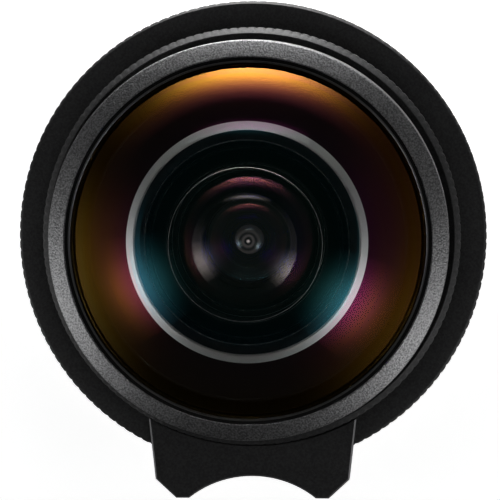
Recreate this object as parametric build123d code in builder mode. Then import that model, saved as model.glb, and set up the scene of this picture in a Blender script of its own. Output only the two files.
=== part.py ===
from build123d import *
from math import asin, atan2, cos, degrees, radians, sin, sqrt
import os

# Compact manual fisheye lens, in millimetres. The lens axis is +Z and the front element looks up.
# The origin is on the axis, in the plane where the flange meets the camera. The focus tab points to -Y.

os.makedirs("parts", exist_ok=True)

# Driving sizes
WIDEST_RADIUS = 45.2 / 2  # over the ribs of the focus ring
LENGTH = 25.5  # from the flange to the top of the front element
THROAT_RADIUS = 15.9  # clear radius inside the bayonet
FRONT_RADIUS = 18.95  # outside of the front ring, where a slip-on cap sits
DOME_RADIUS = 20.0  # curvature of the front surface
STOP_OPEN_RADIUS = 2.4  # iris wide open
FASTEST = 2.8  # f-number wide open
SLOWEST = 16.0  # f-number stopped down
RIB_COUNT = 144
BLADE_COUNT = 7

# Fits and small edges
RUNNING = 0.05  # radial clearance of turning and sliding fits
SLIP = 0.03  # radial clearance of pieces that are fixed in each other
EDGE = 0.15  # small chamfer on turned edges

# Travel
FOCUS_HALF_TURN = 45.0  # degrees each way from the tab at six o'clock
FOCUS_HALF_LIFT = 0.125  # the head rises and sinks by this much
APERTURE_TURN = 42.0  # degrees from wide open to the smallest stop

# Radii of the nested sleeves, from the inside out
tube_radius = THROAT_RADIUS + 1.05
sleeve_bore = tube_radius + RUNNING
sleeve_radius = sleeve_bore + 1.4
helicoid_bore = sleeve_radius + RUNNING
helicoid_radius = helicoid_bore + 0.95
helicoid_flange = helicoid_radius + 1.2
rim_bore = helicoid_flange + RUNNING
rim_radius = rim_bore + 0.55
skirt_bore = rim_radius + 0.3
plate_radius = 21.8
base_radius = 22.3
aperture_radius = 20.1

# Heights along the axis
rim_height = -4.5
plate_top = 0.9
flange_top = 2.1
helicoid_bottom = flange_top + 0.2
focus_bottom = flange_top + 0.3
focus_top = 6.5
tube_top = 6.0
aperture_bottom = focus_top + FOCUS_HALF_LIFT + 0.275
aperture_top = 9.5
shoulder = 8.8
web_top = 10.0
tab_top = focus_top + 0.4


def outline(*corners):
    """A closed face in the XZ plane through corners given as (radius, height)."""
    with BuildSketch(Plane.XZ) as face:
        with BuildLine():
            Polyline(*corners, close=True)
        make_face()
    return face.sketch


def hoop(inner, outer, low, high):
    """The outline of a plain ring of rectangular section."""
    return outline((inner, low), (outer, low), (outer, high), (inner, high))


def depth_of_curve(radius, height):
    """How far a spherical surface falls away at a height from the axis, negative where it is hollow."""
    fall = abs(radius) - sqrt(radius**2 - height**2)
    return fall if radius > 0 else -fall


def around(radius, angle):
    """The point at a radius and an angle in degrees about the lens axis."""
    return (radius * cos(radians(angle)), radius * sin(radians(angle)))


def radial_plane(angle, height):
    """A plane with X outwards and Y up, cutting through the axis at an angle in degrees."""
    out = (cos(radians(angle)), sin(radians(angle)), 0)
    along = (sin(radians(angle)), -cos(radians(angle)), 0)
    return Plane(origin=(0, 0, height), x_dir=out, z_dir=along)


def looking_out(angle, radius, height):
    """A plane that faces away from the axis, for holes and screws that run to the axis."""
    out = (cos(radians(angle)), sin(radians(angle)), 0)
    return Plane(origin=(radius * out[0], radius * out[1], height), x_dir=(0, 0, 1), z_dir=out)


def element_outline(front, rear, edge, front_edge, rear_flat, rear_clear):
    """Half the section of a glass element.

    front and rear are (vertex height, curvature radius) of the two polished surfaces, a positive radius
    bulging to the front. The front surface ends at the radius front_edge, the rear one at rear_clear,
    and a flat at the height rear_flat joins it to the ground edge.
    """
    front_vertex, front_curve = front
    rear_vertex, rear_curve = rear
    front_fall = depth_of_curve(front_curve, front_edge)
    front_half = depth_of_curve(front_curve, front_edge / 2)
    rear_fall = depth_of_curve(rear_curve, rear_clear)
    rear_half = depth_of_curve(rear_curve, rear_clear / 2)
    with BuildSketch(Plane.XZ) as face:
        with BuildLine():
            ThreePointArc(
                (0, front_vertex),
                (front_edge / 2, front_vertex - front_half),
                (front_edge, front_vertex - front_fall),
            )
            corners = [(front_edge, front_vertex - front_fall)]
            if edge > front_edge + 0.01:
                corners.append((edge, front_vertex - front_fall - (edge - front_edge)))
            corners.append((edge, rear_flat))
            if edge > rear_clear + 0.01:
                corners.append((rear_clear, rear_flat))
            if abs(rear_vertex - rear_fall - rear_flat) > 0.01:
                corners.append((rear_clear, rear_vertex - rear_fall))
            Polyline(*corners)
            ThreePointArc(
                (rear_clear, rear_vertex - rear_fall),
                (rear_clear / 2, rear_vertex - rear_half),
                (0, rear_vertex),
            )
            Line((0, rear_vertex), (0, front_vertex))
        make_face()
    return face.sketch


def keep(piece, name):
    """Label a finished piece and write it to its own file."""
    piece.part.label = name
    export_step(piece.part, f"parts/{name}.step")


# Bayonet: a chromed brass flange with a collar and three lugs that lock behind the camera's own lugs
collar_radius = 17.9
lug_radius = 19.0
lug_low = -4.2
lug_high = -3.0
lug_half_angles = (26.0, 29.0, 24.0)
mount_screw_radius = 20.1
mount_screw_angles = (30, 150, 270)
lock_hole_radius = 1.05
lock_hole_angle = 210

with BuildPart() as bayonet_mount:
    revolve(
        outline(
            (THROAT_RADIUS, rim_height + EDGE),
            (THROAT_RADIUS + EDGE, rim_height),
            (collar_radius - EDGE, rim_height),
            (collar_radius, rim_height + EDGE),
            (collar_radius, 0),
            (plate_radius - EDGE, 0),
            (plate_radius, EDGE),
            (plate_radius, plate_top),
            (THROAT_RADIUS, plate_top),
        ),
        axis=Axis.Z,
    )
    for index, half_angle in enumerate(lug_half_angles):
        middle = 90 + 120 * index
        with BuildSketch(Plane.XY.offset(lug_low)):
            with BuildLine():
                CenterArc((0, 0), lug_radius, middle - half_angle, 2 * half_angle)
                CenterArc((0, 0), collar_radius - 0.5, middle - half_angle, 2 * half_angle)
                for side in (middle - half_angle, middle + half_angle):
                    Line(around(collar_radius - 0.5, side), around(lug_radius, side))
            make_face()
        extrude(amount=lug_high - lug_low)
    with Locations(*[around(mount_screw_radius, a) for a in mount_screw_angles]):
        Cylinder(0.85, 2 * plate_top, mode=Mode.SUBTRACT)
        Cone(1.6, 0.8, 0.8, align=(Align.CENTER, Align.CENTER, Align.MIN), mode=Mode.SUBTRACT)
    with Locations(around(mount_screw_radius, lock_hole_angle)):
        Cylinder(lock_hole_radius, 2 * plate_top, mode=Mode.SUBTRACT)
keep(bayonet_mount, "bayonet_mount")

mount_screw_bottom = plate_top + 0.95
with BuildPart() as mount_screws:
    for angle in mount_screw_angles:
        x, y = around(mount_screw_radius, angle)
        with BuildSketch(Plane.XY.offset(0.08)):
            with Locations((x, y)):
                Circle(1.5)
        with BuildSketch(Plane.XY.offset(0.80)):
            with Locations((x, y)):
                Circle(0.8)
        loft()
        with BuildSketch(Plane.XY.offset(0.80)):
            with Locations((x, y)):
                Circle(0.8)
        extrude(amount=mount_screw_bottom - 0.80)
        with BuildSketch(Plane.XY.offset(0.08)):
            with Locations((x, y)):
                Rectangle(1.5, 0.32)
                Rectangle(0.32, 1.5)
        extrude(amount=0.45, mode=Mode.SUBTRACT)
keep(mount_screws, "mount_screws")

# Base: the fixed barrel, with the rim that traps the focusing helicoid and the tube that guides the head
stop_radius = 20.0
stop_pin_radius = 0.45
stop_slot_angle = 90
stop_slot_half = FOCUS_HALF_TURN + degrees(asin((stop_pin_radius + 0.1) / stop_radius))
baffle_lip = 13.2
baffle_screw_radius = 14.4
baffle_screw_angles = (0, 120, 240)
key_angle = 180
dot_radius = 0.42

with BuildPart() as base_barrel:
    revolve(
        outline(
            (baffle_lip, 0),
            (THROAT_RADIUS - RUNNING, 0),
            (THROAT_RADIUS - RUNNING, plate_top),
            (base_radius - EDGE, plate_top),
            (base_radius, plate_top + EDGE),
            (base_radius, flange_top - EDGE),
            (base_radius - EDGE, flange_top),
            (rim_radius, flange_top),
            (rim_radius, flange_top + 1.1),
            (rim_bore, flange_top + 1.1),
            (rim_bore, flange_top),
            (tube_radius, flange_top),
            (tube_radius, tube_top - EDGE),
            (tube_radius - EDGE, tube_top),
            (THROAT_RADIUS, tube_top),
            (THROAT_RADIUS, flange_top),
            (baffle_lip, flange_top),
        ),
        axis=Axis.Z,
    )
    # arc slot that the stop pin runs in
    slot_half_width = stop_pin_radius + RUNNING
    with BuildSketch(Plane.XY.offset(plate_top + 0.35)):
        with BuildLine():
            start = stop_slot_angle - stop_slot_half
            CenterArc((0, 0), stop_radius + slot_half_width, start, 2 * stop_slot_half)
            CenterArc((0, 0), stop_radius - slot_half_width, start, 2 * stop_slot_half)
            for side in (start, start + 2 * stop_slot_half):
                Line(around(stop_radius - slot_half_width, side), around(stop_radius + slot_half_width, side))
        make_face()
    extrude(amount=flange_top - plate_top, mode=Mode.SUBTRACT)
    with Locations(*[around(mount_screw_radius, a) + (plate_top,) for a in mount_screw_angles]):
        Cylinder(0.8 + SLIP, 1.0, align=(Align.CENTER, Align.CENTER, Align.MIN), mode=Mode.SUBTRACT)
    with Locations(*[around(baffle_screw_radius, a) for a in baffle_screw_angles]):
        Cylinder(0.5 + SLIP, 1.4, align=(Align.CENTER, Align.CENTER, Align.MIN), mode=Mode.SUBTRACT)
    with BuildSketch(looking_out(90, base_radius - 0.4, 1.5)):
        Circle(dot_radius)
    extrude(amount=1, mode=Mode.SUBTRACT)
    with BuildSketch(looking_out(key_angle, THROAT_RADIUS - 0.5, 4.2)):
        Circle(0.5 + SLIP)
    extrude(amount=2, mode=Mode.SUBTRACT)
keep(base_barrel, "base_barrel")

with BuildPart() as index_dot:
    with BuildSketch(looking_out(90, base_radius - 0.38, 1.5)):
        Circle(dot_radius - SLIP)
    extrude(amount=0.46)
    fillet(index_dot.faces().sort_by(Axis.Y)[-1].edges(), 0.12)
keep(index_dot, "index_dot")

# Key: a small steel block on the base tube, in a slot of the head, which keeps the head from turning
key_width = 2.0
key_low = 3.4
key_high = 5.0
with BuildPart() as linear_key:
    with BuildSketch(radial_plane(key_angle, 0)):
        with Locations((tube_radius + 0.62, (key_low + key_high) / 2)):
            Rectangle(1.2, key_high - key_low)
    extrude(amount=key_width / 2, both=True)
    chamfer(linear_key.faces().sort_by(Axis.X)[0].edges(), 0.1)
    with BuildSketch(looking_out(key_angle, THROAT_RADIUS, 4.2)):
        Circle(0.5 + SLIP)
    extrude(amount=3, mode=Mode.SUBTRACT)
    with BuildSketch(looking_out(key_angle, tube_radius + 0.7, 4.2)):
        Circle(0.75)
    extrude(amount=3, mode=Mode.SUBTRACT)
keep(linear_key, "linear_key")

with BuildPart() as key_screw:
    with BuildSketch(looking_out(key_angle, THROAT_RADIUS + 0.1, 4.2)):
        Circle(0.5)
    extrude(amount=tube_radius + 0.7 - THROAT_RADIUS - 0.1)
    with BuildSketch(looking_out(key_angle, tube_radius + 0.7, 4.2)):
        Circle(0.72)
    extrude(amount=0.45)
    with BuildSketch(looking_out(key_angle, tube_radius + 0.95, 4.2)):
        Rectangle(0.2, 1.3)
    extrude(amount=0.3, mode=Mode.SUBTRACT)
keep(key_screw, "key_screw")

# Friction washer under the helicoid, and the ring that holds the helicoid down
with BuildPart() as friction_washer:
    revolve(hoop(18.6, 19.4, flange_top + 0.02, flange_top + 0.16), axis=Axis.Z)
keep(friction_washer, "friction_washer")

retainer_low = flange_top + 1.1
retainer_high = retainer_low + 0.6
with BuildPart() as helicoid_retainer:
    revolve(hoop(helicoid_radius + 0.3, rim_radius, retainer_low, retainer_high), axis=Axis.Z)
    with BuildSketch(Plane.XY.offset(retainer_low + 0.2)):
        with PolarLocations(rim_radius - 0.75, 4, start_angle=45):
            Circle(0.3)
    extrude(amount=1, mode=Mode.SUBTRACT)
keep(helicoid_retainer, "helicoid_retainer")

# Light baffle: a thin black plate inside the bayonet, with a hole for the rear cell
baffle_thickness = 0.6
rear_cell_radius = 6.4
with BuildPart() as rear_baffle:
    revolve(
        outline(
            (rear_cell_radius + 0.4, -baffle_thickness),
            (THROAT_RADIUS - 0.1, -baffle_thickness),
            (THROAT_RADIUS - 0.1, 0),
            (rear_cell_radius + 1.0, 0),
        ),
        axis=Axis.Z,
    )
    with Locations(*[around(baffle_screw_radius, a) for a in baffle_screw_angles]):
        Cylinder(0.55, 2, mode=Mode.SUBTRACT)
    with BuildSketch(Plane.XY.offset(-baffle_thickness)):
        with PolarLocations(baffle_screw_radius, 3):
            Circle(1.0)
    extrude(amount=0.35, mode=Mode.SUBTRACT)
keep(rear_baffle, "rear_baffle")

with BuildPart() as baffle_screws:
    with BuildSketch(Plane.XY.offset(-baffle_thickness + 0.02)):
        with PolarLocations(baffle_screw_radius, 3):
            Circle(0.95)
    extrude(amount=0.33)
    with BuildSketch(Plane.XY.offset(-baffle_thickness + 0.3)):
        with PolarLocations(baffle_screw_radius, 3):
            Circle(0.5)
    extrude(amount=1.5)
    with BuildSketch(Plane.XY.offset(-baffle_thickness)):
        with PolarLocations(baffle_screw_radius, 3):
            Rectangle(0.95, 0.22)
            Rectangle(0.22, 0.95)
    extrude(amount=0.2, mode=Mode.SUBTRACT)
keep(baffle_screws, "baffle_screws")

# Focusing helicoid: the brass ring that turns on the base and drives the head along the axis
helicoid_top = 6.3
grub_angles = (60, 180, 300)
grub_height = 5.3
grub_radius = 0.7
with BuildPart() as focus_helicoid:
    revolve(
        outline(
            (helicoid_bore, helicoid_bottom),
            (helicoid_flange, helicoid_bottom),
            (helicoid_flange, helicoid_bottom + 0.8),
            (helicoid_radius, helicoid_bottom + 0.8),
            (helicoid_radius, helicoid_top),
            (helicoid_bore, helicoid_top),
        ),
        axis=Axis.Z,
    )
    with Locations(around(stop_radius, stop_slot_angle) + (helicoid_bottom,)):
        Cylinder(stop_pin_radius + SLIP, 4, mode=Mode.SUBTRACT)
    for angle in grub_angles:
        with BuildSketch(looking_out(angle, helicoid_radius - 0.42, grub_height)):
            Circle(grub_radius + SLIP)
        extrude(amount=1, mode=Mode.SUBTRACT)
keep(focus_helicoid, "focus_helicoid")

with BuildPart() as stop_pin:
    with Locations(around(stop_radius, stop_slot_angle) + (plate_top + 0.45,)):
        Cylinder(stop_pin_radius, 1.7, align=(Align.CENTER, Align.CENTER, Align.MIN))
keep(stop_pin, "stop_pin")

# Focus ring: ribbed aluminium, with a shoulder that carries the finger tab
rib_depth = 0.3
rib_low = focus_bottom + 1.0
rib_high = focus_top - 0.3
tab_screw_angles = (-96.0, -84.0)
tab_screw_height = 4.6
tab_seat = WIDEST_RADIUS - rib_depth - 0.05

with BuildPart() as focus_ring:
    revolve(
        outline(
            (skirt_bore, focus_bottom),
            (WIDEST_RADIUS - 0.35, focus_bottom),
            (WIDEST_RADIUS - 0.2, focus_bottom + 0.15),
            (WIDEST_RADIUS - 0.2, rib_low - 0.2),
            (WIDEST_RADIUS, rib_low),
            (WIDEST_RADIUS, rib_high),
            (WIDEST_RADIUS - 0.3, focus_top),
            (helicoid_radius + SLIP, focus_top),
            (helicoid_radius + SLIP, retainer_high + 0.4),
            (skirt_bore, retainer_high + 0.4),
        ),
        axis=Axis.Z,
    )
    with BuildSketch(Plane.XY.offset(rib_low - 0.05)):
        with PolarLocations(WIDEST_RADIUS + 0.02, RIB_COUNT):
            Rectangle(rib_depth * sqrt(2), rib_depth * sqrt(2), rotation=45)
    extrude(amount=focus_top - rib_low + 0.1, mode=Mode.SUBTRACT)
    for angle in grub_angles:
        with BuildSketch(looking_out(angle, helicoid_radius - 1, grub_height)):
            Circle(grub_radius + SLIP)
        extrude(amount=6, mode=Mode.SUBTRACT)
    for angle in tab_screw_angles:
        with BuildSketch(looking_out(angle, WIDEST_RADIUS - 2.2, tab_screw_height + 0.7)):
            Circle(0.6 + SLIP)
        extrude(amount=6, mode=Mode.SUBTRACT)
keep(focus_ring, "focus_ring")

with BuildPart() as grub_screws:
    for angle in grub_angles:
        with BuildSketch(looking_out(angle, helicoid_radius - 0.4, grub_height)):
            Circle(grub_radius)
        extrude(amount=2.3)
        with BuildSketch(looking_out(angle, helicoid_radius + 1.2, grub_height)):
            RegularPolygon(0.38, 6)
        extrude(amount=2, mode=Mode.SUBTRACT)
keep(grub_screws, "grub_screws")

# Focus tab: a finger rest screwed on at six o'clock, hollowed out for a fingertip
tab_root = 20.42
tab_tip = 25.5
tab_low = focus_bottom + 0.3
tab_half_root = 10.05
tab_half_tip = 9.4
tab_corner = 23.65
tab_foot_out = 7.4
tab_foot_in = 6.15
finger_depth = 2.15
with BuildPart() as focus_tab:
    with BuildSketch(Plane.XY.offset(tab_low)):
        with BuildLine():
            Polyline(
                (-tab_foot_in, -tab_tip),
                (-tab_foot_out, -tab_tip),
                (-tab_half_tip, -tab_corner),
                (-tab_half_root, -tab_root + 2.6),
                (-tab_half_root, 0),
                (tab_half_root, 0),
                (tab_half_root, -tab_root + 2.6),
                (tab_half_tip, -tab_corner),
                (tab_foot_out, -tab_tip),
                (tab_foot_in, -tab_tip),
            )
            ThreePointArc(
                (tab_foot_in, -tab_tip), (0, -tab_tip + finger_depth), (-tab_foot_in, -tab_tip)
            )
        make_face()
    extrude(amount=tab_top - tab_low)
    chamfer(focus_tab.faces().sort_by(Axis.Z)[-1].edges().sort_by(Axis.Y)[:-1], 0.16)
    chamfer(focus_tab.faces().sort_by(Axis.Z)[0].edges().sort_by(Axis.Y)[:-1], 0.16)
    Cylinder(tab_root, 40, mode=Mode.SUBTRACT)
    with Locations((0, 0, focus_top + SLIP)):
        Cylinder(
            WIDEST_RADIUS + SLIP,
            20,
            align=(Align.CENTER, Align.CENTER, Align.MAX),
            mode=Mode.SUBTRACT,
        )
    for angle in tab_screw_angles:
        with BuildSketch(looking_out(angle, WIDEST_RADIUS - 1, tab_screw_height + 0.7)):
            Circle(0.6 + SLIP)
        extrude(amount=6, mode=Mode.SUBTRACT)
        with BuildSketch(looking_out(angle, WIDEST_RADIUS + 0.45, tab_screw_height + 0.7)):
            Circle(1.1)
        extrude(amount=6, mode=Mode.SUBTRACT)
keep(focus_tab, "focus_tab")

with BuildPart() as tab_screws:
    for angle in tab_screw_angles:
        with BuildSketch(looking_out(angle, WIDEST_RADIUS - 2.1, tab_screw_height + 0.7)):
            Circle(0.6)
        extrude(amount=2.6)
        with BuildSketch(looking_out(angle, WIDEST_RADIUS + 0.47, tab_screw_height + 0.7)):
            Circle(1.05)
        extrude(amount=0.36)
        with BuildSketch(looking_out(angle, WIDEST_RADIUS + 0.6, tab_screw_height + 0.7)):
            Rectangle(1.2, 0.25)
            Rectangle(0.25, 1.2)
        extrude(amount=1, mode=Mode.SUBTRACT)
keep(tab_screws, "tab_screws")

# Head barrel: the sleeve with the outer thread of the helicoid, and the web that carries the optics
lever_width = 1.6
lever_low = 6.96
lever_high = 7.56
cell_bolt_radius = 13.0
cell_bolt_angles = (100, 220, 340)
sleeve_bottom = 2.6
hub_radius = 8.6
cell_radius = 17.4


def turning_slot(radius, width, clearance):
    """Start angle and sweep of a slot that a piece of this width crosses while the aperture ring turns."""
    half = degrees((width / 2 + clearance) / radius)
    return -half, APERTURE_TURN + 2 * half


with BuildPart() as head_barrel:
    revolve(
        outline(
            (sleeve_bore, sleeve_bottom),
            (sleeve_radius - EDGE, sleeve_bottom),
            (sleeve_radius, sleeve_bottom + EDGE),
            (sleeve_radius, shoulder),
            (cell_radius, shoulder),
            (cell_radius, web_top),
            (hub_radius + RUNNING, web_top),
            (hub_radius + RUNNING, web_top - 1.2),
            (sleeve_bore - 1.2, web_top - 1.2),
            (sleeve_bore, web_top - 2.4),
        ),
        axis=Axis.Z,
    )
    with BuildSketch(radial_plane(key_angle, 0)):
        with Locations((sleeve_radius, (sleeve_bottom + key_high) / 2)):
            Rectangle(4, key_high - sleeve_bottom + 0.8)
    extrude(amount=key_width / 2 + RUNNING, both=True, mode=Mode.SUBTRACT)
    slot_start, slot_sweep = turning_slot(sleeve_radius, lever_width, 0.2)
    with BuildSketch(Plane.XY.offset(lever_low - 0.16)):
        with BuildLine():
            CenterArc((0, 0), sleeve_radius + 1, slot_start, slot_sweep)
            CenterArc((0, 0), sleeve_bore - 1, slot_start, slot_sweep)
            for side in (slot_start, slot_start + slot_sweep):
                Line(around(sleeve_bore - 1, side), around(sleeve_radius + 1, side))
        make_face()
    extrude(amount=lever_high - lever_low + 0.32, mode=Mode.SUBTRACT)
    with Locations(*[around(cell_bolt_radius, a) + (web_top,) for a in cell_bolt_angles]):
        Cylinder(0.85, 4, mode=Mode.SUBTRACT)
keep(head_barrel, "head_barrel")

cell_screw_head = web_top - 1.2
with BuildPart() as cell_screws:
    places = [around(cell_bolt_radius, a) for a in cell_bolt_angles]
    with BuildSketch(Plane.XY.offset(cell_screw_head - 0.7)):
        with Locations(*places):
            Circle(1.4)
    extrude(amount=0.7)
    with BuildSketch(Plane.XY.offset(cell_screw_head)):
        with Locations(*places):
            Circle(0.8)
    extrude(amount=3)
    with BuildSketch(Plane.XY.offset(cell_screw_head - 0.7)):
        with Locations(*places):
            Rectangle(1.6, 0.3)
            Rectangle(0.3, 1.6)
    extrude(amount=0.35, mode=Mode.SUBTRACT)
keep(cell_screws, "cell_screws")

# Front element: the deep glass meniscus that the photograph looks into
glass_radius = 16.95
front_flat = 15.3
front_step_radius = 13.3
front_step_depth = 0.3
front_thickness = 2.3
bowl_opening = 9.35
bowl_bottom = front_flat - front_step_depth
bowl_vertex = LENGTH - front_thickness
bowl_depth = bowl_vertex - bowl_bottom
bowl_radius = (bowl_opening**2 + bowl_depth**2) / (2 * bowl_depth)
bowl_centre = bowl_vertex - bowl_radius
bevel_inner = 9.1
bevel_outer = 9.9
bevel_top = bowl_centre + sqrt(bowl_radius**2 - bevel_inner**2)
dome_edge_height = LENGTH - depth_of_curve(DOME_RADIUS, glass_radius)

with BuildPart() as front_element:
    with BuildSketch(Plane.XZ):
        with BuildLine():
            ThreePointArc(
                (0, LENGTH),
                (glass_radius / 2, LENGTH - depth_of_curve(DOME_RADIUS, glass_radius / 2)),
                (glass_radius, dome_edge_height),
            )
            Polyline(
                (glass_radius, dome_edge_height),
                (glass_radius, front_flat),
                (front_step_radius + 0.15, front_flat),
                (front_step_radius, bowl_bottom),
                (bevel_outer, bowl_bottom),
                (bevel_inner, bevel_top),
            )
            bowl_half = bevel_inner / 2
            ThreePointArc(
                (bevel_inner, bevel_top),
                (bowl_half, bowl_centre + sqrt(bowl_radius**2 - bowl_half**2)),
                (0, bowl_vertex),
            )
            Line((0, bowl_vertex), (0, LENGTH))
        make_face()
    revolve(axis=Axis.Z)
keep(front_element, "front_element")

gasket_thickness = 0.12
with BuildPart() as front_gasket:
    revolve(
        hoop(front_step_radius + 0.5, glass_radius - 0.1, front_flat - gasket_thickness, front_flat),
        axis=Axis.Z,
    )
keep(front_gasket, "front_gasket")

# Glass behind the front element, down to the iris
second_edge = 9.0
second_flat = 12.9
second_rim = 14.4
second_clear = 5.0
second_front_curve = 13.0
second_front_edge = second_edge - 0.4
second_vertex = second_rim + 0.4 + depth_of_curve(second_front_curve, second_front_edge)
second_rear_curve = 5.3
second_rear_vertex = second_flat + depth_of_curve(second_rear_curve, second_clear)
third_edge = 6.0
third_clear = 3.8
third_flat = 9.74
third_vertex = 12.0
third_rear_vertex = third_flat + depth_of_curve(6.0, third_clear)
third_rim = third_vertex - depth_of_curve(-30.0, third_edge)
fourth_edge = 4.6
fourth_flat = 8.6
fourth_vertex = 10.5
hub_bottom = 8.1

with BuildPart() as second_element:
    revolve(
        element_outline(
            (second_vertex, second_front_curve),
            (second_rear_vertex, second_rear_curve),
            second_edge,
            second_front_edge,
            second_flat,
            second_clear,
        ),
        axis=Axis.Z,
    )
keep(second_element, "second_element")

with BuildPart() as third_element:
    revolve(
        element_outline(
            (third_vertex, -30.0), (third_rear_vertex, 6.0), third_edge, third_edge, third_flat, third_clear
        ),
        axis=Axis.Z,
    )
keep(third_element, "third_element")

with BuildPart() as fourth_element:
    with BuildSketch(Plane.XZ):
        with BuildLine():
            fourth_front_edge = fourth_edge - 0.15
            ThreePointArc(
                (0, fourth_vertex),
                (fourth_front_edge / 2, fourth_vertex - depth_of_curve(7.5, fourth_front_edge / 2)),
                (fourth_front_edge, fourth_vertex - depth_of_curve(7.5, fourth_front_edge)),
            )
            Polyline(
                (fourth_front_edge, fourth_vertex - depth_of_curve(7.5, fourth_front_edge)),
                (fourth_edge, fourth_vertex - depth_of_curve(7.5, fourth_front_edge) - 0.15),
                (fourth_edge, fourth_flat),
                (0, fourth_flat),
                (0, fourth_vertex),
            )
        make_face()
    revolve(axis=Axis.Z)
keep(fourth_element, "fourth_element")

# Front cell: the black turned cup that the front group sits in
retainer_bore = second_edge + 0.8
with BuildPart() as front_cell:
    revolve(
        outline(
            (fourth_edge - 0.5, hub_bottom),
            (hub_radius, hub_bottom),
            (hub_radius, web_top),
            (cell_radius, web_top),
            (cell_radius, front_flat + 0.7),
            (glass_radius + SLIP, front_flat + 0.7),
            (glass_radius + SLIP, front_flat - gasket_thickness),
            (front_step_radius + 0.25, front_flat - gasket_thickness),
            (front_step_radius + 0.25, bowl_bottom - 0.35),
            (retainer_bore, bowl_bottom - 0.35),
            (retainer_bore, second_rim),
            (second_edge + SLIP, second_rim),
            (second_edge + SLIP, second_flat),
            (third_edge + SLIP, second_flat),
            (third_edge + SLIP, third_flat),
            (fourth_edge + SLIP, third_flat),
            (fourth_edge + SLIP, fourth_flat),
            (fourth_edge - 0.5, fourth_flat),
        ),
        axis=Axis.Z,
    )
    with Locations(*[around(cell_bolt_radius, a) + (web_top,) for a in cell_bolt_angles]):
        Cylinder(0.8 + SLIP, 2, align=(Align.CENTER, Align.CENTER, Align.MIN), mode=Mode.SUBTRACT)
    with BuildSketch(Plane.XY.offset(hub_bottom)):
        with PolarLocations(hub_radius - 0.68, 3, start_angle=90):
            Circle(0.4 + SLIP)
    extrude(amount=1.6, mode=Mode.SUBTRACT)
keep(front_cell, "front_cell")

with BuildPart() as second_retainer:
    revolve(
        outline(
            (second_edge - 0.25, second_rim + 0.30),
            (second_edge + 0.05, second_rim + 0.03),
            (retainer_bore - SLIP, second_rim + 0.03),
            (retainer_bore - SLIP, second_rim + 0.48),
            (second_edge, second_rim + 0.48),
            (second_edge - 0.25, second_rim + 0.38),
        ),
        axis=Axis.Z,
    )
    with BuildSketch(Plane.XY.offset(second_rim + 0.3)):
        with PolarLocations(second_edge + 0.45, 2):
            Rectangle(0.6, 0.5)
    extrude(amount=0.5, mode=Mode.SUBTRACT)
keep(second_retainer, "second_retainer")

with BuildPart() as spacer_ring:
    revolve(hoop(second_clear + 0.25, third_edge, third_rim + 0.01, second_flat - 0.01), axis=Axis.Z)
keep(spacer_ring, "spacer_ring")

# Front ring: the bead-blasted trim that clamps the front element and carries the scale
face_inner = 17.36
face_inner_height = 17.0
face_outer_height = 16.45
lip_radius = 16.68
front_bore = cell_radius + RUNNING
lip_height = LENGTH - depth_of_curve(DOME_RADIUS, lip_radius)
foot_radius = FRONT_RADIUS - 0.2
cap_stop = aperture_top + 0.4  # a slip-on cap comes down to this height, clear of the aperture ring
with BuildPart() as front_ring:
    revolve(
        outline(
            (front_bore, shoulder),
            (foot_radius - EDGE, shoulder),
            (foot_radius, shoulder + EDGE),
            (foot_radius, cap_stop),
            (FRONT_RADIUS, cap_stop),
            (FRONT_RADIUS, face_outer_height - 0.1),
            (FRONT_RADIUS - 0.1, face_outer_height),
            (face_inner + 0.08, face_inner_height - 0.03),
            (face_inner, face_inner_height - 0.06),
            (glass_radius + 0.05, lip_height + 0.2),
            (glass_radius, lip_height + 0.13),
            (lip_radius, lip_height + 0.11),
            (lip_radius, lip_height + 0.02),
            (glass_radius + 0.05, lip_height - 0.22),
            (front_bore, lip_height - 0.22),
        ),
        axis=Axis.Z,
    )
keep(front_ring, "front_ring")

# Aperture ring: fine ribs, a chamfered front edge, and a notch for the lever
groove_outer = FRONT_RADIUS + 0.5
aperture_rib_depth = 0.25
with BuildPart() as aperture_ring:
    revolve(
        outline(
            (helicoid_bore, aperture_bottom),
            (aperture_radius - 0.2, aperture_bottom),
            (aperture_radius, aperture_bottom + 0.2),
            (aperture_radius, aperture_top - 0.6),
            (groove_outer + 0.1, aperture_top),
            (groove_outer, aperture_top),
            (groove_outer, shoulder - 0.1),
            (helicoid_bore, shoulder - 0.1),
        ),
        axis=Axis.Z,
    )
    with BuildSketch(Plane.XY.offset(aperture_bottom - 0.1)):
        with PolarLocations(aperture_radius + 0.02, RIB_COUNT):
            Rectangle(aperture_rib_depth * sqrt(2), aperture_rib_depth * sqrt(2), rotation=45)
    extrude(amount=3, mode=Mode.SUBTRACT)
    with Locations((helicoid_bore, 0, aperture_bottom)):
        Box(1.6, lever_width + 2 * SLIP, 2 * (lever_high + SLIP - aperture_bottom), mode=Mode.SUBTRACT)
keep(aperture_ring, "aperture_ring")

# Iris: a housing, seven sprung steel blades on seven levels, a cam ring, and the lever that turns it
pivot_radius = 4.9
pivot_pin = 0.4
drive_pin = 0.35
drive_offset = 1.5
housing_bore = 7.25
plate_low = 5.3
plate_high = 5.9
blade_thickness = 0.08
blade_pitch = 0.14
blade_bottom = plate_high + 0.06
blade_band_outer = 4.05
blade_sweep = 125.0
cam_low = lever_low
cam_high = lever_high
stop_closed_radius = STOP_OPEN_RADIUS * FASTEST / SLOWEST
blade_swing = 2 * degrees(asin((STOP_OPEN_RADIUS - stop_closed_radius) / (2 * pivot_radius)))
blade_ratio = blade_swing / APERTURE_TURN
blade_angles = [20 + 360 / BLADE_COUNT * n for n in range(BLADE_COUNT)]
housing_bolt_angles = (90, 210, 330)
housing_bolt_radius = hub_radius - 0.68


def drive_pin_place(turn):
    """Where the first blade's drive pin is, seen from the cam ring, after the ring turns this far."""
    swing = radians(turn * blade_ratio)
    x = pivot_radius + drive_offset * sin(swing)
    y = -drive_offset * cos(swing)
    return sqrt(x * x + y * y), degrees(atan2(y, x)) - turn


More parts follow.
